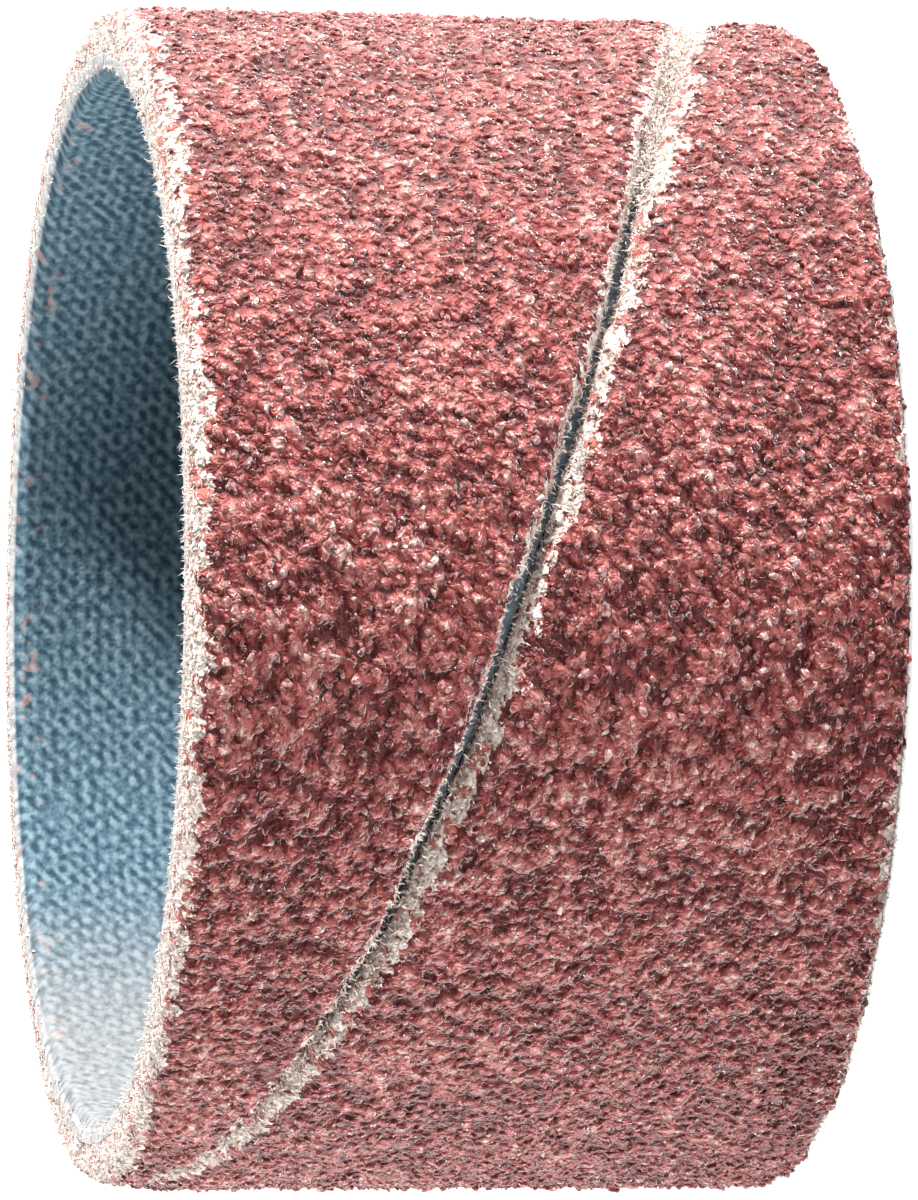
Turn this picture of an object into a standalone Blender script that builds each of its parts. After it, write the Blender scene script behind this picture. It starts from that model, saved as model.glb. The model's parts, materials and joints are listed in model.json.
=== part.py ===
"""A spiral-wound sanding sleeve: abrasive cloth wound as one helical strip over a cloth liner.

The sleeve stands on one rim. +Z is its axis, the origin is the centre of the lower rim, and the
front, where the seam is in full view, faces -Y. Units are metres.
"""

import math

import bmesh
import bpy
from mathutils import Vector

# Driving dimensions
SLEEVE_WIDTH = 0.020
BORE_RADIUS = 0.015
LINER_THICKNESS = 0.0008
GLUE_LINE = 0.0001
BACKING_THICKNESS = 0.0005
COAT_THICKNESS = 0.00075

# The cloth strip's width, square to its own edges, sets how steeply it has to be wound for
# those edges to meet. It is wound left-handed, and the edges butt with this gap.
CLOTH_STRIP_WIDTH = 0.0333
SEAM_HEIGHT_AT_FRONT = 0.0108
SEAM_GAP = 0.0004

# The coat is rubbed off both edges of the seam, and further back on the edge below it.
WEAR_ABOVE_SEAM = 0.0002
WEAR_BELOW_SEAM = 0.0006
SEAM_WEAR_DEPTH = 0.00045

# The liner is wound alike, and its joint is kept well away from the strip's seam.
LINER_SEAM_GAP = 0.0003
LINER_SEAM_SHIFT = 0.015

# The coat is rubbed back along the upper rim and only just broken along the lower one.
UPPER_RIM_WEAR = 0.0004
LOWER_RIM_WEAR = 0.00015
BORE_EDGE_ROUND = 0.00012

# Smoothness
FACETS_PER_TURN = 144
CORNER_STEPS = 4
CUTTER_OVERRUN = 0.0006

# Derived sizes
LINER_RADIUS = BORE_RADIUS + LINER_THICKNESS
STRIP_INNER_RADIUS = LINER_RADIUS + GLUE_LINE
STRIP_RADIUS = STRIP_INNER_RADIUS + BACKING_THICKNESS + COAT_THICKNESS
LEAD_ANGLE = math.asin(CLOTH_STRIP_WIDTH / (math.tau * STRIP_RADIUS))
SEAM_PITCH = math.tau * STRIP_RADIUS * math.tan(LEAD_ANGLE)
FRONT_ANGLE = -math.pi / 2


def clear_scene():
    for obj in list(bpy.data.objects):
        bpy.data.objects.remove(obj, do_unlink=True)


def new_collection(name):
    collection = bpy.data.collections.new(name)
    bpy.context.scene.collection.children.link(collection)
    return collection


def finish_material(name, colour, roughness, metallic=0.0):
    material = bpy.data.materials.new(name)
    material.use_nodes = True
    shader = material.node_tree.nodes["Principled BSDF"]
    shader.inputs["Base Color"].default_value = (*colour, 1.0)
    shader.inputs["Roughness"].default_value = roughness
    shader.inputs["Metallic"].default_value = metallic
    return material


def worn_corner(radius, height, radial_wear, axial_wear, rising):
    """Points of a rounded outer corner, from its upper end to its lower end.

    radius and height are those of the sharp corner. rising says that the rim is the upper one.
    """
    points = []
    for step in range(CORNER_STEPS + 1):
        turn = math.pi / 2 * step / CORNER_STEPS
        if rising:
            across = radial_wear * (1 - math.sin(turn))
            down = axial_wear * (1 - math.cos(turn))
            points.append((radius - across, height - down))
        else:
            across = radial_wear * (1 - math.cos(turn))
            up = axial_wear * (1 - math.sin(turn))
            points.append((radius - across, height + up))
    return points


def strip_section():
    """The abrasive strip's section, down its outer side and back up its inner one."""
    top = worn_corner(STRIP_RADIUS, SLEEVE_WIDTH, COAT_THICKNESS, UPPER_RIM_WEAR, rising=True)
    bottom = worn_corner(STRIP_RADIUS, 0.0, LOWER_RIM_WEAR, LOWER_RIM_WEAR, rising=False)
    inner = [(STRIP_INNER_RADIUS, 0.0), (STRIP_INNER_RADIUS, SLEEVE_WIDTH)]
    return top + bottom + inner


def liner_section():
    """The liner's section. Its bore edges are eased, as cut cloth is."""
    return [
        (LINER_RADIUS, SLEEVE_WIDTH),
        (LINER_RADIUS, 0.0),
        (BORE_RADIUS + BORE_EDGE_ROUND, 0.0),
        (BORE_RADIUS, BORE_EDGE_ROUND),
        (BORE_RADIUS, SLEEVE_WIDTH - BORE_EDGE_ROUND),
        (BORE_RADIUS + BORE_EDGE_ROUND, SLEEVE_WIDTH),
    ]


def turned_ring(name, section, collection, material):
    """A closed section of (radius, height) points turned once about the axis."""
    mesh = bpy.data.meshes.new(name)
    count = len(section)
    edges = [(i, (i + 1) % count) for i in range(count)]
    mesh.from_pydata([(radius, 0.0, height) for radius, height in section], edges, [])
    mesh.materials.append(material)
    ring = bpy.data.objects.new(name, mesh)
    collection.objects.link(ring)
    turn = ring.modifiers.new("turn", "SCREW")
    turn.axis = "Z"
    turn.angle = math.tau
    turn.screw_offset = 0.0
    turn.steps = FACETS_PER_TURN
    turn.render_steps = FACETS_PER_TURN
    turn.use_merge_vertices = True
    turn.merge_threshold = 0.00001
    turn.use_smooth_shade = False
    return ring


def gap_section(inner_radius, outer_radius, gap):
    """The gap between two butted edges, as (radius, height) points of a bar that cuts it."""
    half = gap / 2 / math.cos(LEAD_ANGLE)
    low = inner_radius - CUTTER_OVERRUN
    high = outer_radius + CUTTER_OVERRUN
    return [(low, -half), (high, -half), (high, half), (low, half)]


def worn_gap_section(inner_radius, outer_radius, gap, wear_below, wear_above, wear_depth):
    """The same, flared through the outermost wear_depth, where the edges are rubbed away."""
    half = gap / 2 / math.cos(LEAD_ANGLE)
    flare = (1 + CUTTER_OVERRUN / wear_depth) / math.cos(LEAD_ANGLE)
    low = inner_radius - CUTTER_OVERRUN
    flare_start = outer_radius - wear_depth
    high = outer_radius + CUTTER_OVERRUN
    lower_edge = [(low, -half), (flare_start, -half), (high, -half - wear_below * flare)]
    upper_edge = [(high, half + wear_above * flare), (flare_start, half), (low, half)]
    return lower_edge + upper_edge


def helical_cutter(name, section, front_height, collection):
    """The section swept along the seam's helix, past both rims.

    It is left-handed: it rises as it turns from +Y towards +X, and passes the front, at -Y, at
    front_height.
    """
    margin = max(abs(height) for _, height in section) + CUTTER_OVERRUN
    rise = SLEEVE_WIDTH + 2 * margin
    turns = rise / SEAM_PITCH
    steps = math.ceil(turns * FACETS_PER_TURN)
    start_angle = FRONT_ANGLE + math.tau * (front_height + margin) / SEAM_PITCH

    bm = bmesh.new()
    outward = Vector((math.cos(start_angle), math.sin(start_angle), 0.0))
    corners = [outward * radius + Vector((0, 0, height - margin)) for radius, height in section]
    face = bm.faces.new([bm.verts.new(corner) for corner in corners])
    bmesh.ops.spin(
        bm,
        geom=[face, *face.verts, *face.edges],
        cent=(0, 0, 0),
        axis=(0, 0, 1),
        dvec=(0, 0, rise / steps),
        angle=-math.tau * turns,
        steps=steps,
        use_duplicate=False,
    )
    bmesh.ops.recalc_face_normals(bm, faces=bm.faces[:])
    mesh = bpy.data.meshes.new(name)
    bm.to_mesh(mesh)
    bm.free()
    cutter = bpy.data.objects.new(name, mesh)
    cutter.hide_render = True
    cutter.display_type = "WIRE"
    collection.objects.link(cutter)
    return cutter


def cut_seam(ring, cutter):
    cut = ring.modifiers.new("seam", "BOOLEAN")
    cut.operation = "DIFFERENCE"
    cut.solver = "EXACT"
    cut.object = cutter


def build_abrasive_strip(parts, cutters):
    red_grain = finish_material("red_grain", (0.42, 0.11, 0.10), 0.45)
    strip = turned_ring("abrasive_strip", strip_section(), parts, red_grain)
    section = worn_gap_section(
        STRIP_INNER_RADIUS,
        STRIP_RADIUS,
        SEAM_GAP,
        WEAR_BELOW_SEAM,
        WEAR_ABOVE_SEAM,
        SEAM_WEAR_DEPTH,
    )
    cut_seam(strip, helical_cutter("strip_seam_cutter", section, SEAM_HEIGHT_AT_FRONT, cutters))


def build_liner(parts, cutters):
    blue_cloth = finish_material("blue_cloth", (0.09, 0.16, 0.21), 0.9)
    liner = turned_ring("liner", liner_section(), parts, blue_cloth)
    section = gap_section(BORE_RADIUS, LINER_RADIUS, LINER_SEAM_GAP)
    joint_height = SEAM_HEIGHT_AT_FRONT + LINER_SEAM_SHIFT
    cut_seam(liner, helical_cutter("liner_seam_cutter", section, joint_height, cutters))


def main():
    clear_scene()
    parts = new_collection("sanding_sleeve")
    cutters = new_collection("cutters")
    build_abrasive_strip(parts, cutters)
    build_liner(parts, cutters)


main()
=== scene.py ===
"""Finish and surroundings of a spiral-wound sanding sleeve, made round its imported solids.

The sleeve stands on its lower rim. Its axis is +Z, and the seam crosses the front, at -Y. All
lengths are metres. A place on the strip is an arc, measured round the sleeve from the front, and
a height above the floor.
"""

import json
import math

import bmesh
import bpy
import numpy as np
from mathutils import Euler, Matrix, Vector

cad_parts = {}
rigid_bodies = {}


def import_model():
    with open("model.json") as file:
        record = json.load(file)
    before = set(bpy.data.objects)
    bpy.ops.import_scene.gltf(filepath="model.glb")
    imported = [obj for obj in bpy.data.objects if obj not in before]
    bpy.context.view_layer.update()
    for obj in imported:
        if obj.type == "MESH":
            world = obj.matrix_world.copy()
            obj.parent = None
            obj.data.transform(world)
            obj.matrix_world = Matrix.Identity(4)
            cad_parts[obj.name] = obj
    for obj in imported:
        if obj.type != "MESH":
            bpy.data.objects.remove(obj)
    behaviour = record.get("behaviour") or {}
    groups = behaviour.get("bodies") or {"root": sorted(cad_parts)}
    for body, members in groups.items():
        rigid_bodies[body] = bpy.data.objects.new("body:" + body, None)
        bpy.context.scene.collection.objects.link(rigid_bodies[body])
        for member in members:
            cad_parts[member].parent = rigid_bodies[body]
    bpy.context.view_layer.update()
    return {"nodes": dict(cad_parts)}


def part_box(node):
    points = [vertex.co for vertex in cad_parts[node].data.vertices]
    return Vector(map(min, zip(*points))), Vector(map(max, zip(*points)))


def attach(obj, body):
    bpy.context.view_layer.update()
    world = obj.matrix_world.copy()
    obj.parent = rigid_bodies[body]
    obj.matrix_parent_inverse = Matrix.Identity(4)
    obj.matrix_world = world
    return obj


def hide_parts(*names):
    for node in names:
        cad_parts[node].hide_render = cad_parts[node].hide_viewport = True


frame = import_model()

bl_info = {
    "name": "Sanding Sleeve",
    "version": (1, 0, 0),
    "blender": (4, 5, 0),
    "location": "3D View > Sidebar > Sleeve",
    "description": "Makes the grit, cloth and studio of a spiral-wound sanding sleeve",
    "category": "Object",
}

MM = 0.001


def radii_of(node):
    """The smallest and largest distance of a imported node's points from the sleeve's axis."""
    distances = [math.hypot(v.co.x, v.co.y) for v in frame["nodes"][node].data.vertices]
    return min(distances), max(distances)


STRIP_INNER, STRIP_OUTER = radii_of("abrasive_strip")
BORE, LINER_OUTER = radii_of("liner")
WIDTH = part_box("abrasive_strip")[1].z
BODY = "root"

# The seam, as the solids have it
CLOTH_WIDTH = 33.3 * MM
SEAM_HEIGHT_AT_FRONT = 10.8 * MM
SEAM_GAP = 0.4 * MM
LINER_SEAM_SHIFT = 15.0 * MM
LINER_SEAM_GAP = 0.3 * MM
FRONT_ANGLE = -math.pi / 2
LEAD = math.asin(CLOTH_WIDTH / (math.tau * STRIP_OUTER))
PITCH = math.tau * STRIP_OUTER * math.tan(LEAD)

# The coat's depth in the solids, the cloth under it, and how far the strip's shell reaches into
# the glue line
COAT_DEPTH = 0.75 * MM
CLOTH_FACE = STRIP_OUTER - COAT_DEPTH
GLUE_FILL = 0.07 * MM

# How far from each edge the coat is rounded, and the share of its depth left at the edge itself
TOP_SHOULDER = (0.45 * MM, 0.0)
BOTTOM_SHOULDER = (0.15 * MM, 0.3)
ABOVE_SEAM_SHOULDER = (0.22 * MM, 0.35)
BELOW_SEAM_SHOULDER = (0.75 * MM, 0.30)

# Heights between which the seam changes, from where a change starts to where it is complete:
# a wider worn margin, lint over the gap, threads across its two ends, and sparser walls
WIDE_MARGIN = (8.0 * MM, 5.5 * MM)
LINT = (7.6 * MM, 6.2 * MM)
BASE_THREADS = (7.2 * MM, 6.6 * MM)
TOP_THREADS = (18.4 * MM, 18.9 * MM)
SPARSE_WALLS = (10.5 * MM, 11.8 * MM)

# The same for the painted shade deep in the gap, in the millimetres that materials work in
SHADE_BASE = (6.2, 7.4)
SHADE_TOP = (19.95, 19.85)

# The liner's twill in millimetres: from rib to rib round the bore, and from pick to pick along it
TWILL_RIB = 0.52
TWILL_PICK = 0.37

# The liner's mesh: its cell, how far outside the bore the twill is bedded, how near the rims it
# fades, and how its upper edge is rounded
TWILL_CELL = 0.2 * MM
TWILL_BED = 0.08 * MM
TWILL_FADE = 0.15 * MM
LINER_ROUNDING = 0.40 * MM
LINER_SHOULDER = (0.45 * MM, 0.0)

# A strip's mesh: how many columns further back each row starts than the one below it, how many
# rows of the detailed side go to one of the back, how deep the straying of a cut edge reaches
# into it, and the sharpest edge that is still shaded smooth
ROW_SHIFT = 3
BACK_STRIDE = 6
EDGE_REACH = 0.4 * MM
SMOOTH_ANGLE = math.radians(60)

# Beds for the frayed cotton: points round a rim, rows and columns along the seam, and how far
# from each rim the seam's beds end
RIM_POINTS = 361
SEAM_ROWS = 300
SEAM_COLUMNS = 7
SEAM_MARGIN = 0.05 * MM

# Grains and fibres on a square metre, before their spacing thins them
GRAIN_DENSITY = 40e6
FIBRE_DENSITY = 400e6
SHAPES_OF_A_KIND = 12

# Noise for meshes repeats after this many cells
NOISE_CELLS = 256

# The stage, with the camera where the photo's perspective puts it
FLOOR_HALF = 2.0
FOCAL_LENGTH = 231.27
CAMERA_PLACE = (-6.46 * MM, -220.74 * MM, 56.11 * MM)
CAMERA_TURN = (math.radians(3.114), math.radians(77.967), math.radians(-88.513))
WHITE = (1, 1, 1, 1)


class SleeveSizes(bpy.types.PropertyGroup):
    """Sizes of the surface detail."""

    coat_thickness: bpy.props.FloatProperty(
        name="Coat", description="Depth of resin over the cloth", default=0.62 * MM, unit="LENGTH"
    )
    skin_cell: bpy.props.FloatProperty(
        name="Skin cell",
        description="Spacing of the strip's mesh",
        default=0.168 * MM,
        unit="LENGTH",
    )
    coarse_spacing: bpy.props.FloatProperty(
        name="Coarse spacing",
        description="Least distance between coarse grains",
        default=0.34 * MM,
        unit="LENGTH",
    )
    coarse_size: bpy.props.FloatProperty(
        name="Coarse grain",
        description="Width of the largest grains",
        default=0.60 * MM,
        unit="LENGTH",
    )
    fine_spacing: bpy.props.FloatProperty(
        name="Fine spacing",
        description="Least distance between fine grains",
        default=0.28 * MM,
        unit="LENGTH",
    )
    fine_size: bpy.props.FloatProperty(
        name="Fine grain",
        description="Width of the largest fine grains",
        default=0.38 * MM,
        unit="LENGTH",
    )
    tuft_length: bpy.props.FloatProperty(
        name="Tuft",
        description="Length of the longest frayed fibres",
        default=0.30 * MM,
        unit="LENGTH",
    )


class SleeveColours(bpy.types.PropertyGroup):
    """Colours of the materials."""

    resin: bpy.props.FloatVectorProperty(
        name="Resin",
        description="Resin over the grains",
        subtype="COLOR",
        default=(0.28, 0.062, 0.057),
    )
    # The darkest resin, where the tone is lowest, is partly painted shade in the coat's hollows
    dark_resin: bpy.props.FloatVectorProperty(
        name="Dark resin",
        description="Resin in the hollows",
        subtype="COLOR",
        default=(0.075, 0.008, 0.008),
    )
    cotton: bpy.props.FloatVectorProperty(
        name="Cotton", description="Bare cotton backing", subtype="COLOR", default=(0.60, 0.51, 0.45)
    )
    liner: bpy.props.FloatVectorProperty(
        name="Liner", description="Blue twill liner", subtype="COLOR", default=(0.085, 0.155, 0.20)
    )


def sizes():
    return bpy.context.scene.sleeve_sizes


def colours():
    return bpy.context.scene.sleeve_colours


def in_scene(name, data):
    """A new object of the scene, made from a mesh, a lamp or a camera."""
    made = bpy.data.objects.new(name, data)
    bpy.context.scene.collection.objects.link(made)
    return made


# Smooth noise for meshes

def smooth_noise(across, along, cell, seed):
    """Noise from -1 to 1, eased between random values at the corners of square cells.

    Each pattern on the sleeve has a seed of its own.
    """
    table = np.random.default_rng(seed).uniform(-1, 1, (NOISE_CELLS, NOISE_CELLS))
    u = across / cell
    v = along / cell
    column = np.floor(u).astype(int)
    row = np.floor(v).astype(int)
    fu = u - column
    fv = v - row
    fu = fu * fu * (3 - 2 * fu)
    fv = fv * fv * (3 - 2 * fv)
    left = column % NOISE_CELLS
    right = (column + 1) % NOISE_CELLS
    low = row % NOISE_CELLS
    high = (row + 1) % NOISE_CELLS
    near = table[left, low] * (1 - fu) + table[right, low] * fu
    far = table[left, high] * (1 - fu) + table[right, high] * fu
    return near * (1 - fv) + far * fv


def ramp(value, low, high):
    """0 at low, 1 at high, level beyond both, and smooth between."""
    t = np.clip((value - low) / (high - low), 0, 1)
    return t * t * (3 - 2 * t)


# The wound strip's mesh

def seam_arc(height, radius, front_height):
    """The arc from the front to the seam's middle at a height. The winding is left-handed."""
    return -(height - front_height) * math.tau * radius / PITCH


class WoundSheet:
    """A grid of rows over one turn of a strip, where each row starts at the seam.

    Rows are level. Each starts further back than the one below it, by a whole number of
    columns, so that the cells stay square and the edges still follow the seam.
    """

    def __init__(self):
        self.points = []
        self.faces = []
        self.count = 0

    def add(self, points):
        """Adds points and returns their numbers."""
        points = np.asarray(points, float)
        self.points.append(points)
        numbers = np.arange(self.count, self.count + len(points))
        self.count += len(points)
        return numbers

    def join_rows(self, lower, upper, shift, flip=False):
        """Faces between two rows of one length, where upper starts shift columns further back."""
        count = len(lower)
        for j in range(count - shift - 1):
            self.face([lower[j], lower[j + 1], upper[j + shift + 1], upper[j + shift]], flip)
        for j in range(shift):
            self.face([lower[0], upper[j + 1], upper[j]], flip)
        for j in range(count - shift - 1, count - 1):
            self.face([lower[j], lower[j + 1], upper[count - 1]], flip)

    def join_lines(self, first, second, flip=False):
        """Faces between two lines of one length."""
        for j in range(len(first) - 1):
            self.face([first[j], first[j + 1], second[j + 1], second[j]], flip)

    def fan(self, centre, line, flip=False):
        """Faces between one point and a line."""
        for j in range(len(line) - 1):
            self.face([centre, line[j], line[j + 1]], flip)

    def face(self, corners, flip):
        """Adds one face, turned over if flip is set."""
        self.faces.append(corners[::-1] if flip else corners)

    def mesh(self, name):
        """A mesh of all the points and faces."""
        mesh = bpy.data.meshes.new(name)
        faces = [list(map(int, corners)) for corners in self.faces]
        mesh.from_pydata(np.concatenate(self.points).tolist(), [], faces)
        return mesh


def on_cylinder(arc, height, radius, arc_radius):
    """Points at an arc that was measured at arc_radius."""
    angle = FRONT_ANGLE + arc / arc_radius
    return np.stack([radius * np.cos(angle), radius * np.sin(angle), height], axis=-1)


def coat_share(above, below, from_top, from_bottom, arc, height):
    """How much of the coat is left, from 0 on bare cloth to 1, by the distance from each edge.

    above and below are the distances from the strip's edges above and below the seam. The coat
    is worn wider low on the seam, and on the upper rim it is worn most gently towards +X and
    furthest at the back.
    """
    ragged = smooth_noise(arc, height, 0.45 * MM, 11) + 0.6 * smooth_noise(arc, height, 0.2 * MM, 12)
    slow = smooth_noise(arc, height, 2.2 * MM, 13)
    low = ramp(height, *WIDE_MARGIN)
    side = np.clip(np.cos(FRONT_ANGLE + arc / STRIP_OUTER), 0, 1)
    back = np.clip(np.sin(FRONT_ANGLE + arc / STRIP_OUTER), 0, 1)

    # How far the worn line along each edge strays
    above_stray = (0.05 + 0.2 * low) * MM * ragged
    below_stray = (0.15 * ragged + 0.13 * slow) * (1 + low) * MM
    top_stray = ((0.13 * ragged + 0.14 * slow) * (1 + 1.4 * side) - 0.35 * back) * MM
    bottom_stray = (0.20 * ragged + 0.24 * slow) * MM

    # From each edge, the distance at which the coat begins and that at which it is whole
    upper = ramp(above + above_stray, 0.08 * MM, (0.26 + 0.5 * low) * MM)
    lower = ramp(below + below_stray, 0.18 * MM, (0.64 + 0.4 * low) * MM)
    top = ramp(from_top + top_stray, (0.22 - 0.17 * side) * MM, (0.62 + 0.70 * side) * MM)
    bottom = ramp(from_bottom + bottom_stray, 0.02 * MM, 0.25 * MM)
    return upper * lower * top * bottom


def cut_wander(height, offset, seed):
    """How far a cut edge of the cloth strays along the arc. Each edge has its own offset."""
    line = np.full_like(height, offset * MM)
    fine = smooth_noise(height, line, 0.16 * MM, seed)
    broad = smooth_noise(height, line, 0.7 * MM, seed + 10)
    return (0.30 * fine + 0.36 * broad) * MM


def wound_shell(name, radius, gap, front_height, cell, surface, back_radius):
    """One turn of a strip as a closed shell, with detail on one side and a plain back.

    cell is the height of a row. surface gives the detailed side's radius and a mask for each
    point. The back lies inside it when back_radius is the smaller, and outside it otherwise.
    """
    rows = round(WIDTH / cell) + 1
    heights = np.linspace(0, WIDTH, rows)

    # The turn stops short of itself by the gap, and the rise of a row sets the columns' width
    gap_arc = gap / math.sin(LEAD)
    turn = math.tau * radius - gap_arc
    column_width = (WIDTH / (rows - 1)) * math.tau * radius / PITCH / ROW_SHIFT
    across = np.linspace(0, turn, round(turn / column_width) + 1)
    inward = back_radius > radius

    sheet = WoundSheet()
    masks = []
    bares = []
    places = []

    def add_row(height, detailed):
        arc = seam_arc(height, radius, front_height) + gap_arc / 2 + across
        level = np.full(len(across), height)
        above = across * math.sin(LEAD)
        below = (turn - across) * math.sin(LEAD)
        arc = arc + cut_wander(level, 0.0, 51) * ramp(above, EDGE_REACH, 0)
        arc = arc + cut_wander(level, 1.0, 52) * ramp(below, EDGE_REACH, 0)
        if detailed:
            distance, mask = surface(arc, level, above, below)
        else:
            distance, mask = back_radius, np.zeros(len(across))
        masks.append(mask)
        # Fibres thin out as the coat comes back, and end before it is whole
        bares.append(np.clip(1 - 1.6 * mask, 0, 1) * detailed)
        places.append(np.stack([arc, level], axis=-1))
        return sheet.add(on_cylinder(arc, level, distance, radius))

    # The detailed side
    face_rows = [add_row(height, True) for height in heights]
    for lower, upper in zip(face_rows, face_rows[1:]):
        sheet.join_rows(lower, upper, ROW_SHIFT, inward)

    # The back, which has fewer rows
    kept = list(range(0, rows - 1, BACK_STRIDE)) + [rows - 1]
    back_rows = {k: add_row(heights[k], False) for k in kept}
    for k, after in zip(kept, kept[1:]):
        sheet.join_rows(back_rows[k], back_rows[after], ROW_SHIFT * (after - k), not inward)

    # Both rims, and the two cut edges at the seam
    sheet.join_lines(back_rows[0], face_rows[0], inward)
    sheet.join_lines(face_rows[-1], back_rows[rows - 1], inward)
    for end, flip in ((0, inward), (-1, not inward)):
        for k, after in zip(kept, kept[1:]):
            edge = [face_rows[i][end] for i in range(k, after + 1)]
            sheet.fan(back_rows[k][end], edge, flip)
            sheet.face([back_rows[k][end], edge[-1], back_rows[after][end]], flip)

    mesh = sheet.mesh(name)
    store_float(mesh, "coat", np.concatenate(masks))
    store_float(mesh, "bare", np.concatenate(bares))
    store_places(mesh, np.concatenate(places))
    mesh.shade_smooth()
    mesh.set_sharp_from_angle(angle=SMOOTH_ANGLE)
    return in_scene(name, mesh)


def store_float(mesh, name, values):
    """Values for a mesh's points, as an attribute."""
    made = mesh.attributes.new(name, "FLOAT", "POINT")
    made.data.foreach_set("value", values.astype(np.float32))


def store_places(mesh, places):
    """Arc and height in millimetres, as the UV map that the patterns follow."""
    layer = mesh.uv_layers.new(name="strip_place")
    corners = np.empty(len(mesh.loops), np.int32)
    mesh.loops.foreach_get("vertex_index", corners)
    layer.uv.foreach_set("vector", (places[corners] / MM).astype(np.float32).ravel())


def shoulder(distance, reach, least):
    """A rounded rise from least at an edge to 1 at reach from it."""
    part = 1 - np.clip(distance / reach, 0, 1)
    return least + (1 - least) * np.sqrt(1 - part * part)


def coated_face(arc, level, above, below):
    """Radius of the strip's outer side, and how much coat is left on it.

    The coat rises from the cloth over rounded shoulders. Lumps and a slow swell come with it,
    and the cloth has a fuzz of its own. Where the coat is gone, the surface is a little lower.
    """
    share = coat_share(above, below, WIDTH - level, level, arc, level)
    rise = shoulder(WIDTH - level, *TOP_SHOULDER) * shoulder(level, *BOTTOM_SHOULDER)
    rise = rise * shoulder(above, *ABOVE_SEAM_SHOULDER) * shoulder(below, *BELOW_SEAM_SHOULDER)
    lumps = 0.10 * smooth_noise(arc, level, 0.42 * MM, 21)
    lumps = lumps + 0.02 * smooth_noise(arc, level, 0.8 * MM, 22)
    swell = 0.015 * smooth_noise(arc, level, 3.0 * MM, 23)
    fuzz = 0.04 * MM * smooth_noise(arc, level, 0.25 * MM, 24)
    height = (0.86 + 0.14 * share) * rise * sizes().coat_thickness
    return CLOTH_FACE + fuzz + height + share * (lumps + swell) * MM, share


def twill_face(arc, level, above, below):
    """Radius of the liner's bore side, with the ribs of its twill and a rounded upper edge.

    It takes what coated_face takes, and above and below make no difference to it.
    """
    ribs = np.cos(math.tau * (arc + level) / (TWILL_RIB * MM))
    wander = 0.03 * smooth_noise(arc, level, 2.5 * MM, 31)
    edge = ramp(WIDTH - level, 0, TWILL_FADE) * ramp(level, 0, TWILL_FADE)
    eased = LINER_ROUNDING * (1 - shoulder(WIDTH - level, *LINER_SHOULDER))
    return BORE + TWILL_BED + eased - edge * (0.05 + 0.02 * ribs + wander) * MM, edge


# Beds for the frayed cotton

def bed(name, grids):
    """Open surfaces through grids of points, with how thickly fibres grow at each."""
    sheet = WoundSheet()
    for points, _, flip in grids:
        rows = [sheet.add(row) for row in points]
        for lower, upper in zip(rows, rows[1:]):
            sheet.join_lines(lower, upper, flip)
    mesh = sheet.mesh(name)
    store_float(mesh, "bare", np.concatenate([mask.ravel() for _, mask, _ in grids]))
    return in_scene(name, mesh)


def rim_grid(section, shares, flip):
    """A band turned about the axis, from (radius, height) points and the share of fibres at each.

    The share is whole at the front and falls to a tenth of that at the back.
    """
    turn = np.linspace(0, math.tau, RIM_POINTS)
    radius, height = np.array(section).T[:, :, None]
    ring = np.ones_like(turn)
    points = np.stack([radius * np.cos(turn), radius * np.sin(turn), height * ring], axis=-1)
    return points, np.array(shares)[:, None] * (0.55 - 0.45 * np.sin(turn)), flip


def seam_grid(offsets, radius, share):
    """A band along the seam, between offsets square to it. share takes the height."""
    height = np.linspace(SEAM_MARGIN, WIDTH - SEAM_MARGIN, SEAM_ROWS)[:, None]
    offset = np.linspace(*offsets, SEAM_COLUMNS)[None, :]
    arc = seam_arc(height, STRIP_OUTER, SEAM_HEIGHT_AT_FRONT) + offset / math.sin(LEAD)
    level = height * np.ones_like(offset)
    return on_cylinder(arc, level, radius, STRIP_OUTER), share(level), False


def wall_fray(height):
    """How thickly fibres grow on the gap's walls: sparsely above, where the gap stays open."""
    return 1 - 0.75 * ramp(height, *SPARSE_WALLS)


def closed_end(height):
    """1 where lint closes the gap, low on the sleeve, and 0 above."""
    return ramp(height, *LINT)


def gap_fill(height):
    """How far threads bridge the gap: wholly near both ends, and here and there between."""
    ends = ramp(height, *BASE_THREADS) + ramp(height, *TOP_THREADS)
    lumps = ramp(smooth_noise(height, np.zeros_like(height), 0.6 * MM, 41), 0.35, 0.6)
    return np.clip(ends + lumps, 0, 1)


# Nodes

def node(tree, kind, inputs=None, **settings):
    """Adds a node. Each input is a value, or the socket that feeds it."""
    made = tree.nodes.new(kind)
    for name, value in settings.items():
        setattr(made, name, value)
    for name, value in (inputs or {}).items():
        socket = made.inputs[name]
        if isinstance(value, bpy.types.NodeSocket):
            tree.links.new(value, socket)
        else:
            socket.default_value = value
    return made


def maths(tree, operation, *values):
    """A number worked out from numbers."""
    made = node(tree, "ShaderNodeMath", dict(enumerate(values)), operation=operation)
    return made.outputs[0]


def vector_maths(tree, operation, *vectors):
    """A vector worked out from vectors."""
    made = node(tree, "ShaderNodeVectorMath", dict(enumerate(vectors)), operation=operation)
    return made.outputs[0]


def scaled(tree, vector, factor):
    """A vector times a number."""
    made = node(tree, "ShaderNodeVectorMath", {0: vector, "Scale": factor}, operation="SCALE")
    return made.outputs[0]


def coordinate(tree, vector, axis):
    """One coordinate of a vector."""
    return node(tree, "ShaderNodeSeparateXYZ", {"Vector": vector}).outputs[axis]


def axis_distance(tree, place):
    """How far a place lies from the sleeve's axis."""
    flat = vector_maths(tree, "MULTIPLY", place, (1, 1, 0))
    return node(tree, "ShaderNodeVectorMath", {0: flat}, operation="LENGTH").outputs["Value"]


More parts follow.
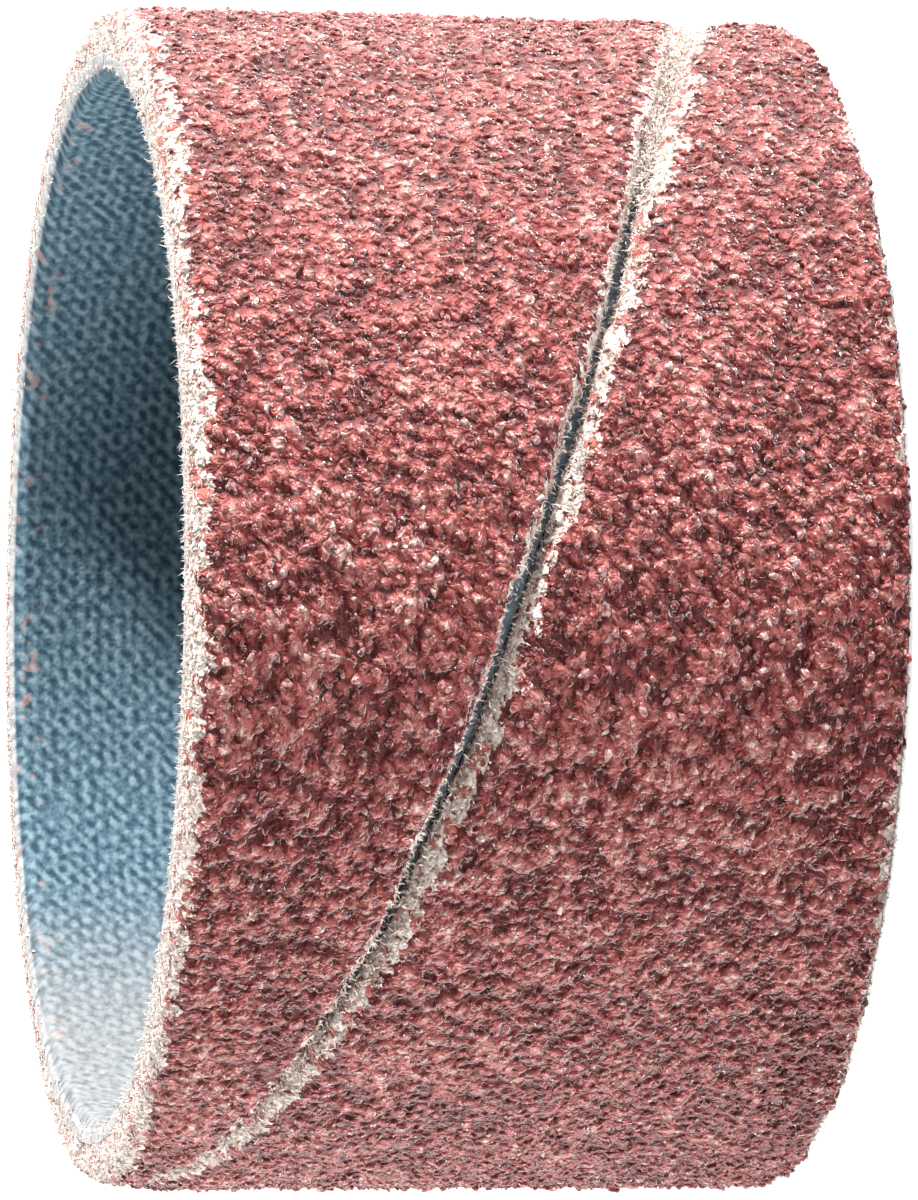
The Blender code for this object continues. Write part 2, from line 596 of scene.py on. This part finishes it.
def blend_colours(tree, factor, first, second):
    """First where the factor is 0, second where it is 1. Each is a socket or a value."""
    made = node(tree, "ShaderNodeMix", data_type="RGBA")
    for index, value in ((0, factor), (6, first), (7, second)):
        if isinstance(value, bpy.types.NodeSocket):
            tree.links.new(value, made.inputs[index])
        else:
            made.inputs[index].default_value = value if index == 0 else (*value, 1.0)
    return made.outputs[2]


def colour_ramp(tree, factor, stops):
    """A ramp over (position, colour) stops."""
    made = node(tree, "ShaderNodeValToRGB", {"Fac": factor})
    elements = made.color_ramp.elements
    elements[0].position = stops[0][0]
    elements[0].color = (*stops[0][1], 1.0)
    elements[1].position = stops[-1][0]
    elements[1].color = (*stops[-1][1], 1.0)
    for position, colour in stops[1:-1]:
        element = elements.new(position)
        element.color = (*colour, 1.0)
    return made.outputs["Color"]


def mask_ramp(tree, value, low, high):
    """0 at low, 1 at high, level beyond both, and smooth between."""
    made = node(
        tree,
        "ShaderNodeMapRange",
        {"Value": value, "From Min": low, "From Max": high},
        interpolation_type="SMOOTHSTEP",
    )
    return made.outputs["Result"]


def new_material(name):
    """A material, with its node tree and its shader."""
    material = bpy.data.materials.new(name)
    material.use_nodes = True
    tree = material.node_tree
    shader = tree.nodes["Principled BSDF"]
    return material, tree, shader


def strip_place(tree):
    """Arc and height in millimetres."""
    return node(tree, "ShaderNodeUVMap", uv_map="strip_place").outputs["UV"]


def object_place(tree):
    """Object coordinates in millimetres."""
    place = node(tree, "ShaderNodeTexCoord").outputs["Object"]
    return scaled(tree, place, 1 / MM)


def attribute(tree, name):
    """A number that the mesh stores for each of its points or copies."""
    return node(tree, "ShaderNodeAttribute", attribute_name=name).outputs["Fac"]


def fractal(tree, place, scale, detail=2.0, roughness=0.5):
    """Noise from 0 to 1 about 0.5, in lumps of 1 / scale millimetres."""
    made = node(
        tree,
        "ShaderNodeTexNoise",
        {"Vector": place, "Scale": scale, "Detail": detail, "Roughness": roughness},
        noise_dimensions="3D",
    )
    return made.outputs["Fac"]


def shared_group(name, inputs, outputs):
    """A shader group with its input and output sockets.

    The sockets are None when an earlier material has made the group, which is then complete.
    """
    group = bpy.data.node_groups.get(name)
    if group:
        return group, None, None
    group = bpy.data.node_groups.new(name, "ShaderNodeTree")
    for direction, sockets in (("INPUT", inputs), ("OUTPUT", outputs)):
        for socket, kind in sockets:
            group.interface.new_socket(socket, in_out=direction, socket_type=kind)
    return group, group.nodes.new("NodeGroupInput").outputs, group.nodes.new("NodeGroupOutput").inputs


def cotton_group():
    """Cream cotton, dark where its speckle is low and red where resin stains it."""
    group, given, result = shared_group(
        "cotton",
        [("Speckle", "NodeSocketFloat"), ("Stain", "NodeSocketFloat")],
        [("Colour", "NodeSocketColor")],
    )
    if given:
        stops = [
            (0.35, (0.08, 0.05, 0.04)),
            (0.42, (0.40, 0.29, 0.24)),
            (0.49, tuple(colours().cotton)),
            (0.66, (0.78, 0.72, 0.66)),
        ]
        base = colour_ramp(group, given["Speckle"], stops)
        stained = blend_colours(group, given["Stain"], base, (0.42, 0.12, 0.10))
        group.links.new(stained, result["Colour"])
    return group


def cotton_colour(tree, speckle, stain):
    """The cotton group's colour, for a material."""
    given = {"Speckle": speckle, "Stain": stain}
    return node(tree, "ShaderNodeGroup", given, node_tree=cotton_group()).outputs["Colour"]


def coat_material():
    """Glossy red resin over grit, worn through to cotton where the coat attribute falls."""
    material, tree, shader = new_material("red_grain")
    place = object_place(tree)
    radius = axis_distance(tree, place)
    mottle = fractal(tree, place, 3.4, 2.0, 0.65)
    slow = fractal(tree, place, 0.30, 0.0)

    # Rounded caps of resin, on a pattern that the mottle pulls out of line
    warped = vector_maths(tree, "ADD", place, scaled(tree, (0.5, -0.4, 0.6), mottle))
    cells = node(tree, "ShaderNodeTexVoronoi", {"Vector": warped, "Scale": 2.7}, feature="F1")
    dome = mask_ramp(tree, cells.outputs["Distance"], 0.80, 0.15)

    # Resin, mottled at random, with painted highlights that make it paler on the caps and on what
    # stands proud, and painted shade that makes it darker in the hollows
    level = (CLOTH_FACE + sizes().coat_thickness) / MM
    rise = mask_ramp(tree, radius, level - 0.12, level + 0.18)
    tone = maths(tree, "MULTIPLY_ADD", slow, 0.1, maths(tree, "MULTIPLY", mottle, 0.45))
    tone = maths(tree, "MULTIPLY_ADD", rise, 0.25, tone)
    tone = maths(tree, "MULTIPLY_ADD", dome, 0.20, tone)
    stops = [
        (0.37, tuple(colours().dark_resin)),
        (0.435, (0.16, 0.016, 0.015)),
        (0.49, tuple(colours().resin)),
        (0.60, (0.38, 0.118, 0.105)),
        (0.68, (0.52, 0.26, 0.23)),
        (0.77, (0.74, 0.54, 0.48)),
    ]
    resin = colour_ramp(tree, tone, stops)

    # The coat ends raggedly, and thin resin is redder there
    ragged = maths(tree, "SUBTRACT", 0.5, mottle)
    coat = maths(tree, "MULTIPLY_ADD", ragged, 2.6, attribute(tree, "coat"))
    share = mask_ramp(tree, coat, 0.34, 0.44)
    edge_red = mask_ramp(tree, coat, 0.60, 0.42)
    resin = blend_colours(tree, maths(tree, "MULTIPLY", edge_red, 0.30), resin, (0.56, 0.075, 0.05))

    # Bare cloth, with a few red grains left on it, and a dark blue-black painted shade deep in the
    # gap
    height = coordinate(tree, place, "Z")
    over_base = mask_ramp(tree, height, *SHADE_BASE)
    under_top = mask_ramp(tree, height, *SHADE_TOP)
    depth = mask_ramp(tree, radius, CLOTH_FACE / MM, CLOTH_FACE / MM - 0.2)
    painted_gap_shade = maths(tree, "MULTIPLY", maths(tree, "MULTIPLY", over_base, under_top), depth)
    grain_left = mask_ramp(tree, coordinate(tree, cells.outputs["Color"], "X"), 0.80, 0.84)
    cotton = cotton_colour(tree, mottle, grain_left)
    cloth = blend_colours(tree, painted_gap_shade, cotton, (0.030, 0.036, 0.045))
    colour = blend_colours(tree, share, cloth, resin)
    tree.links.new(colour, shader.inputs["Base Color"])

    # Cloth is matt, and resin is glossier the paler it is
    shine = maths(tree, "MULTIPLY_ADD", mask_ramp(tree, tone, 0.38, 0.60), 0.25, 0.30)
    rough = maths(tree, "MULTIPLY_ADD", share, maths(tree, "MULTIPLY", shine, -1.0), 0.90)
    tree.links.new(rough, shader.inputs["Roughness"])
    shader.inputs["Specular IOR Level"].default_value = 0.75
    shader.inputs["Specular Tint"].default_value = (1.0, 0.62, 0.60, 1.0)
    shader.inputs["Sheen Weight"].default_value = 0.8
    shader.inputs["Sheen Roughness"].default_value = 0.28
    shader.inputs["Sheen Tint"].default_value = (1.0, 0.90, 0.88, 1.0)
    relief = maths(tree, "MULTIPLY_ADD", dome, 0.5, mottle)
    bump = node(tree, "ShaderNodeBump", {"Height": relief, "Strength": 1.0, "Distance": 0.32 * MM})
    tree.links.new(bump.outputs["Normal"], shader.inputs["Normal"])
    return material


def matt_cloth(shader):
    """Sets a shader to the dull surface of cotton."""
    shader.inputs["Roughness"].default_value = 0.9
    shader.inputs["Specular IOR Level"].default_value = 0.2


def fibre_material():
    """Frayed ends of cotton, each with its own tone."""
    material, tree, shader = new_material("cotton_fibre")
    place = object_place(tree)
    stain = mask_ramp(tree, fractal(tree, place, 3.6, 0.0), 0.68, 0.74)
    speckle = maths(tree, "MAXIMUM", fractal(tree, place, 5.0, 1.0, 0.7), 0.44)
    cotton = cotton_colour(tree, speckle, stain)
    paleness = maths(tree, "MULTIPLY", attribute(tree, "tone"), 0.7)
    pale = blend_colours(tree, paleness, cotton, (0.74, 0.69, 0.64))
    tree.links.new(pale, shader.inputs["Base Color"])
    matt_cloth(shader)
    return material


def liner_material():
    """Blue-grey twill in diagonal rows of short lozenges, with pale cut edges and spots of glue."""
    material, tree, shader = new_material("blue_cloth")
    place = strip_place(tree)
    arc = coordinate(tree, place, "X")
    height = coordinate(tree, place, "Y")
    width = WIDTH / MM

    # Twill
    diagonal = maths(tree, "ADD", arc, height)
    rib = maths(tree, "SINE", maths(tree, "MULTIPLY", diagonal, math.tau / TWILL_RIB))
    pick = maths(tree, "SINE", maths(tree, "MULTIPLY", height, math.tau / TWILL_PICK))
    yarn = maths(tree, "MULTIPLY_ADD", rib, 0.08, maths(tree, "MULTIPLY", pick, 0.05))
    mottle = fractal(tree, place, 3.5, 2.0)
    tone = maths(tree, "ADD", yarn, mottle)
    stops = [
        (0.32, (0.030, 0.062, 0.09)),
        (0.5, tuple(colours().liner)),
        (0.72, (0.22, 0.30, 0.34)),
    ]
    base = colour_ramp(tree, tone, stops)

    # Spots of glue near the upper rim
    rim = mask_ramp(tree, maths(tree, "SUBTRACT", width, height), 1.1, 0.6)
    spots = mask_ramp(tree, fractal(tree, place, 1.2, 2.0, 0.7), 0.57, 0.66)
    glue = maths(tree, "MULTIPLY", rim, spots)
    base = blend_colours(tree, maths(tree, "MULTIPLY", glue, 0.45), base, (0.52, 0.31, 0.26))

    # The outer side, seen through the seam, is paler, and towards -X the bore is painted pale grey as
    # a painted sheen of lit nap
    whole_place = object_place(tree)
    outer = mask_ramp(tree, axis_distance(tree, whole_place), BORE / MM + 0.55, BORE / MM + 0.70)
    base = blend_colours(tree, maths(tree, "MULTIPLY", outer, mottle), base, (0.36, 0.44, 0.50))
    side = mask_ramp(tree, coordinate(tree, whole_place, "X"), -7.5, -13.5)
    painted_sheen_grey = maths(tree, "MULTIPLY", side, maths(tree, "ADD", mottle, 0.05))
    base = blend_colours(tree, painted_sheen_grey, base, (0.36, 0.33, 0.31))

    # Cut edges at both rims
    from_middle = maths(tree, "ABSOLUTE", maths(tree, "SUBTRACT", height, width / 2))
    cut = mask_ramp(tree, from_middle, width / 2 - 0.12, width / 2 - 0.04)
    edge = blend_colours(tree, 0.6, cotton_colour(tree, mottle, glue), (0.28, 0.35, 0.39))
    base = blend_colours(tree, cut, base, edge)
    tree.links.new(base, shader.inputs["Base Color"])
    matt_cloth(shader)
    bump = node(tree, "ShaderNodeBump", {"Height": tone, "Strength": 0.5, "Distance": 0.1 * MM})
    tree.links.new(bump.outputs["Normal"], shader.inputs["Normal"])
    return material


# Scattering

def scatter_tree():
    """Geometry nodes that set shapes on a surface, where a mask allows it."""
    made_before = bpy.data.node_groups.get("scatter_shapes")
    if made_before:
        return made_before
    tree = bpy.data.node_groups.new("scatter_shapes", "GeometryNodeTree")
    face = tree.interface
    for name, kind in (
        ("Surface", "NodeSocketGeometry"),
        ("Shapes", "NodeSocketCollection"),
        ("Mask", "NodeSocketString"),
        ("Density", "NodeSocketFloat"),
        ("Spacing", "NodeSocketFloat"),
        ("Smallest", "NodeSocketFloat"),
        ("Largest", "NodeSocketFloat"),
        ("Tilt", "NodeSocketFloat"),
        ("Sink", "NodeSocketFloat"),
        ("Seed", "NodeSocketInt"),
        ("Material", "NodeSocketMaterial"),
    ):
        face.new_socket(name, in_out="INPUT", socket_type=kind)
    face.new_socket("Result", in_out="OUTPUT", socket_type="NodeSocketGeometry")
    given = tree.nodes.new("NodeGroupInput").outputs

    # Points on the surface, sunk a little into it
    mask = node(tree, "GeometryNodeInputNamedAttribute", {"Name": given["Mask"]}, data_type="FLOAT")
    spots = node(
        tree,
        "GeometryNodeDistributePointsOnFaces",
        {
            "Mesh": given["Surface"],
            "Distance Min": given["Spacing"],
            "Density Max": given["Density"],
            "Density Factor": mask.outputs["Attribute"],
            "Seed": given["Seed"],
        },
        distribute_method="POISSON",
    )
    sunk = scaled(tree, spots.outputs["Normal"], maths(tree, "MULTIPLY", given["Sink"], -1.0))
    points = {"Geometry": spots.outputs["Points"], "Offset": sunk}
    lowered = node(tree, "GeometryNodeSetPosition", points)

    # A shape, a turn and a size for each point
    tilt = scaled(tree, (1.0, 1.0, 0.0), given["Tilt"])
    most = vector_maths(tree, "ADD", tilt, (0.0, 0.0, math.pi))
    turn = node(
        tree,
        "FunctionNodeRandomValue",
        {"Min": scaled(tree, most, -1.0), "Max": most, "Seed": 1},
        data_type="FLOAT_VECTOR",
    )
    spin = node(tree, "FunctionNodeEulerToRotation", {"Euler": turn.outputs[0]})
    aim = node(
        tree,
        "FunctionNodeRotateRotation",
        {"Rotation": spots.outputs["Rotation"], "Rotate By": spin.outputs[0]},
        rotation_space="LOCAL",
    )
    size = node(
        tree,
        "FunctionNodeRandomValue",
        {"Min": given["Smallest"], "Max": given["Largest"], "Seed": 2},
        data_type="FLOAT",
    )
    shapes = node(
        tree,
        "GeometryNodeCollectionInfo",
        {"Collection": given["Shapes"], "Separate Children": True, "Reset Children": True},
    )
    choice = node(tree, "FunctionNodeRandomValue", {"Min": 0, "Max": 100, "Seed": 3}, data_type="INT")
    copies = node(
        tree,
        "GeometryNodeInstanceOnPoints",
        {
            "Points": lowered.outputs["Geometry"],
            "Instance": shapes.outputs["Instances"],
            "Pick Instance": True,
            "Instance Index": choice.outputs[2],
            "Rotation": aim.outputs["Rotation"],
            "Scale": size.outputs[1],
        },
    )

    # A tone for each copy, and the finished mesh
    tone = node(
        tree,
        "FunctionNodeRandomValue",
        {"Min": 0.0, "Max": 1.0, "Seed": 4},
        data_type="FLOAT",
    )
    toned = node(
        tree,
        "GeometryNodeStoreNamedAttribute",
        {"Geometry": copies.outputs["Instances"], "Name": "tone", "Value": tone.outputs[1]},
        data_type="FLOAT",
        domain="INSTANCE",
    )
    solid = node(tree, "GeometryNodeRealizeInstances", {"Geometry": toned.outputs["Geometry"]})
    finished = node(
        tree,
        "GeometryNodeSetMaterial",
        {"Geometry": solid.outputs["Geometry"], "Material": given["Material"]},
    )
    result = tree.nodes.new("NodeGroupOutput")
    tree.links.new(finished.outputs["Geometry"], result.inputs["Result"])
    return tree


def scattered(name, surface, values):
    """A plain mesh of shapes scattered on a surface, by the scatter tree's named inputs."""
    tree = scatter_tree()
    carrier = in_scene(name + "_carrier", surface.data)
    modifier = carrier.modifiers.new("scatter", "NODES")
    modifier.node_group = tree
    for item in tree.interface.items_tree:
        if item.item_type == "SOCKET" and item.in_out == "INPUT" and item.name in values:
            modifier[item.identifier] = values[item.name]
    graph = bpy.context.evaluated_depsgraph_get()
    mesh = bpy.data.meshes.new_from_object(carrier.evaluated_get(graph))
    bpy.data.objects.remove(carrier)
    mesh.name = name
    for layer in list(mesh.uv_layers):
        mesh.uv_layers.remove(layer)
    return in_scene(name, mesh)


def hidden_collection(name, meshes):
    """Shapes for a scatter, in a collection that isn't in the scene."""
    collection = bpy.data.collections.new(name)
    for i, mesh in enumerate(meshes):
        collection.objects.link(bpy.data.objects.new(f"{name}_{i}", mesh))
    return collection


def drop_collection(collection):
    """Removes a collection with its shapes."""
    for shape in list(collection.objects):
        bpy.data.objects.remove(shape)
    bpy.data.collections.remove(collection)


def finished_shape(bm, name):
    """The mesh of a small closed shape, with its faces turned outwards."""
    bmesh.ops.recalc_face_normals(bm, faces=bm.faces[:])
    mesh = bpy.data.meshes.new(name)
    bm.to_mesh(mesh)
    bm.free()
    return mesh


def crystal(seed, corners):
    """A grain about one unit across under its skin of resin: the hull of a few scattered points."""
    rng = np.random.default_rng(seed)
    bm = bmesh.new()
    directions = rng.normal(size=(corners, 3))
    directions /= np.linalg.norm(directions, axis=1)[:, None]
    stretch = 0.5 * np.array([1, rng.uniform(0.55, 0.9), rng.uniform(0.5, 0.7)])
    for direction in directions:
        bm.verts.new(Vector(direction * stretch * rng.uniform(0.82, 1.0)))
    made = bmesh.ops.convex_hull(bm, input=bm.verts[:])
    inner = [v for v in made["geom_interior"] if isinstance(v, bmesh.types.BMVert)]
    bmesh.ops.delete(bm, geom=inner, context="VERTS")
    return finished_shape(bm, "crystal")


def fibre(seed):
    """A frayed end of yarn about one unit long: a bent, three-sided spike."""
    rng = np.random.default_rng(seed)
    bm = bmesh.new()
    lean = rng.uniform(-0.35, 0.35, 2)
    thickness = rng.uniform(0.07, 0.16)
    rings = []
    for level, width in ((0.0, 1.0), (0.45, 0.85)):
        middle = Vector((lean[0] * level**2, lean[1] * level**2, level))
        ring = []
        for corner in range(3):
            angle = math.tau * corner / 3
            spoke = Vector((math.cos(angle), math.sin(angle), 0))
            ring.append(bm.verts.new(middle + thickness * width * spoke))
        rings.append(ring)
    tip = bm.verts.new((2.2 * lean[0], 2.2 * lean[1], rng.uniform(0.6, 1.0)))
    for i in range(3):
        j = (i + 1) % 3
        bm.faces.new([rings[0][i], rings[0][j], rings[1][j], rings[1][i]])
        bm.faces.new([rings[1][i], rings[1][j], tip])
    bm.faces.new(rings[0][::-1])
    return finished_shape(bm, "fibre")


def adopt(piece, replaced=None):
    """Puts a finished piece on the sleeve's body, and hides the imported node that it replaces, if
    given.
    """
    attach(piece, BODY)
    if replaced:
        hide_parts(replaced)


class SLEEVE_OT_strip(bpy.types.Operator):
    """Makes the abrasive strip's skin and its grains"""

    bl_idname = "sleeve.strip"
    bl_label = "Abrasive strip"

    def execute(self, context):
        skin = wound_shell(
            "strip_skin",
            radius=STRIP_OUTER,
            gap=SEAM_GAP,
            front_height=SEAM_HEIGHT_AT_FRONT,
            cell=sizes().skin_cell,
            surface=coated_face,
            back_radius=STRIP_INNER - GLUE_FILL,
        )
        coat = coat_material()
        skin.data.materials.append(coat)
        adopt(skin, "abrasive_strip")

        coarse = {
            "Spacing": sizes().coarse_spacing,
            "Smallest": 0.36 * MM,
            "Largest": sizes().coarse_size,
            "Tilt": 0.7,
            "Sink": 0.02 * MM,
            "Seed": 5,
        }
        fine = {
            "Spacing": sizes().fine_spacing,
            "Smallest": 0.20 * MM,
            "Largest": sizes().fine_size,
            "Tilt": 1.2,
            "Sink": 0.01 * MM,
            "Seed": 6,
        }
        for name, corners, kind in (("coarse_grains", 10, coarse), ("fine_grains", 8, fine)):
            meshes = [crystal(seed, corners) for seed in range(SHAPES_OF_A_KIND)]
            shapes = hidden_collection("crystals", meshes)
            common = {"Shapes": shapes, "Mask": "coat", "Density": GRAIN_DENSITY, "Material": coat}
            grains = scattered(name, skin, common | kind)
            grains.data.shade_smooth()
            adopt(grains)
            drop_collection(shapes)
        return {"FINISHED"}


class SLEEVE_OT_fray(bpy.types.Operator):
    """Makes the frayed cotton along both rims and the seam"""

    bl_idname = "sleeve.fray"
    bl_label = "Frayed cotton"

    def execute(self, context):
        # Each rim's section from the bore outwards, as (radius, height) points
        upper_rim = [
            (BORE + 0.30 * MM, WIDTH - 0.12 * MM),
            (BORE + 0.45 * MM, WIDTH - 0.02 * MM),
            (STRIP_INNER - 0.1 * MM, WIDTH - 0.02 * MM),
            (CLOTH_FACE, WIDTH - 0.02 * MM),
        ]
        lower_rim = [
            (BORE + 0.05 * MM, 0.02 * MM),
            (CLOTH_FACE, 0.02 * MM),
            (CLOTH_FACE + 0.2 * MM, 0.10 * MM),
        ]

        # The gap and the cloth's two cut edges, as offsets square to the seam
        half_gap = SEAM_GAP / 2
        gap = (-half_gap, half_gap)
        edge_above = (half_gap - 0.08 * MM, half_gap + 0.02 * MM)
        edge_below = (-half_gap - 0.02 * MM, -half_gap + 0.08 * MM)
        seam_grids = [
            seam_grid(edge_above, CLOTH_FACE + 0.10 * MM, wall_fray),
            seam_grid(edge_below, CLOTH_FACE + 0.05 * MM, wall_fray),
            seam_grid(gap, CLOTH_FACE - 0.15 * MM, gap_fill),
        ]
        lint_grids = [seam_grid(gap, CLOTH_FACE + 0.30 * MM, closed_end)]

        # The spacing of each bed's fibres, and its grids
        beds = {
            "upper_rim_fray": (0.10 * MM, [rim_grid(upper_rim, (1, 1, 0.8, 1), True)]),
            "lower_rim_fray": (0.12 * MM, [rim_grid(lower_rim, (0.6, 0.6, 0.3), False)]),
            "seam_fray": (0.10 * MM, seam_grids),
            "seam_lint": (0.06 * MM, lint_grids),
        }
        cotton = fibre_material()
        shapes = hidden_collection("fibres", [fibre(seed) for seed in range(SHAPES_OF_A_KIND)])
        surfaces = [
            (name, spacing, bed(name + "_bed", grids)) for name, (spacing, grids) in beds.items()
        ]
        surfaces.append(("skin_fray", 0.10 * MM, bpy.data.objects["strip_skin"]))
        for seed, (name, spacing, surface) in enumerate(surfaces):
            values = {
                "Shapes": shapes,
                "Mask": "bare",
                "Density": FIBRE_DENSITY,
                "Spacing": spacing,
                "Smallest": 0.10 * MM,
                "Largest": sizes().tuft_length,
                "Tilt": 1.3,
                "Sink": 0.03 * MM,
                "Seed": seed,
                "Material": cotton,
            }
            adopt(scattered(name, surface, values))
            if surface.name.endswith("_bed"):
                bpy.data.objects.remove(surface)
        drop_collection(shapes)
        return {"FINISHED"}


class SLEEVE_OT_liner(bpy.types.Operator):
    """Makes the liner's twill"""

    bl_idname = "sleeve.liner"
    bl_label = "Liner"

    def execute(self, context):
        twill = wound_shell(
            "liner_twill",
            radius=BORE,
            gap=LINER_SEAM_GAP,
            front_height=SEAM_HEIGHT_AT_FRONT + LINER_SEAM_SHIFT,
            cell=TWILL_CELL,
            surface=twill_face,
            back_radius=LINER_OUTER,
        )
        twill.data.materials.append(liner_material())
        adopt(twill, "liner")
        return {"FINISHED"}


def make_floor():
    """A white floor that glows a little to the camera, so that it fades into the background."""
    mesh = bpy.data.meshes.new("floor")
    half = FLOOR_HALF
    corners = [(-half, -half, 0), (half, -half, 0), (half, half, 0), (-half, half, 0)]
    mesh.from_pydata(corners, [], [(0, 1, 2, 3)])
    floor = in_scene("floor", mesh)
    material, tree, shader = new_material("studio_white")
    shader.inputs["Base Color"].default_value = (0.85, 0.85, 0.85, 1)
    shader.inputs["Roughness"].default_value = 0.8
    rays = node(tree, "ShaderNodeLightPath")
    seen = maths(tree, "MULTIPLY", rays.outputs["Is Camera Ray"], 0.7)
    glow = node(tree, "ShaderNodeEmission", {"Color": WHITE, "Strength": seen})
    both = node(tree, "ShaderNodeAddShader", {0: shader.outputs[0], 1: glow.outputs[0]})
    tree.links.new(both.outputs[0], tree.nodes["Material Output"].inputs["Surface"])
    mesh.materials.append(material)
    return floor


def make_world():
    """White to the camera. Its light and its reflections come mostly from behind the sleeve."""
    world = bpy.data.worlds.new("studio")
    bpy.context.scene.world = world
    world.use_nodes = True
    tree = world.node_tree
    backdrop = tree.nodes["Background"]
    rays = node(tree, "ShaderNodeLightPath")
    incoming = node(tree, "ShaderNodeNewGeometry").outputs["Incoming"]
    away = coordinate(tree, incoming, "Y")
    diffuse = maths(tree, "MULTIPLY_ADD", mask_ramp(tree, away, 0.2, -0.8), 0.94, 0.06)
    mirrored = mask_ramp(tree, away, 0.5, -0.2)
    seen = maths(tree, "MULTIPLY", rays.outputs["Is Glossy Ray"], mirrored)
    seen = maths(tree, "MAXIMUM", seen, rays.outputs["Is Camera Ray"])
    tree.links.new(maths(tree, "MAXIMUM", seen, diffuse), backdrop.inputs["Strength"])
    backdrop.inputs["Color"].default_value = WHITE


def area_light(name, direction, distance, size, power):
    """A square lamp that looks at the sleeve's middle."""
    data = bpy.data.lights.new(name, "AREA")
    data.size = size
    data.energy = power
    lamp = in_scene(name, data)
    aim = Vector(direction).normalized()
    lamp.location = Vector((0, 0, WIDTH / 2)) + aim * distance
    lamp.rotation_euler = aim.to_track_quat("Z", "Y").to_euler()
    return lamp


def make_camera():
    """The camera at the photo's viewing angle."""
    data = bpy.data.cameras.new("camera")
    data.lens = FOCAL_LENGTH
    data.clip_start = 0.01
    data.clip_end = 20
    camera = in_scene("camera", data)
    camera.location = CAMERA_PLACE
    camera.rotation_euler = Euler(CAMERA_TURN)
    bpy.context.scene.camera = camera


class SLEEVE_OT_stage(bpy.types.Operator):
    """Makes the floor, the lamps and the camera"""

    bl_idname = "sleeve.stage"
    bl_label = "Stage"

    def execute(self, context):
        make_floor()
        make_world()
        area_light("key", (0.84, -0.22, 0.40), distance=0.45, size=0.08, power=5.5)
        area_light("open_end", (0.55, 0.05, 0.83), distance=0.45, size=0.15, power=0.7)
        front = area_light("front_fill", (-0.25, -0.95, 0.1), distance=0.6, size=0.3, power=1.2)
        front.visible_glossy = False
        area_light("low_fill", (-0.97, 0.05, 0.12), distance=0.5, size=0.2, power=4.2)
        make_camera()
        context.scene.view_settings.view_transform = "Standard"
        return {"FINISHED"}


class SLEEVE_PT_panel(bpy.types.Panel):
    """Lists the sleeve's operators"""

    bl_label = "Sanding Sleeve"
    bl_space_type = "VIEW_3D"
    bl_region_type = "UI"
    bl_category = "Sleeve"

    def draw(self, context):
        for operator in (SLEEVE_OT_strip, SLEEVE_OT_liner, SLEEVE_OT_fray, SLEEVE_OT_stage):
            self.layout.operator(operator.bl_idname)


CLASSES = (
    SleeveSizes,
    SleeveColours,
    SLEEVE_OT_strip,
    SLEEVE_OT_liner,
    SLEEVE_OT_fray,
    SLEEVE_OT_stage,
    SLEEVE_PT_panel,
)


def register():
    for cls in CLASSES:
        bpy.utils.register_class(cls)
    bpy.types.Scene.sleeve_sizes = bpy.props.PointerProperty(type=SleeveSizes)
    bpy.types.Scene.sleeve_colours = bpy.props.PointerProperty(type=SleeveColours)


def unregister():
    del bpy.types.Scene.sleeve_colours
    del bpy.types.Scene.sleeve_sizes
    for cls in reversed(CLASSES):
        bpy.utils.unregister_class(cls)


def main():
    register()
    bpy.ops.sleeve.strip()
    bpy.ops.sleeve.liner()
    bpy.ops.sleeve.fray()
    bpy.ops.sleeve.stage()


if __name__ == "__main__":
    main()
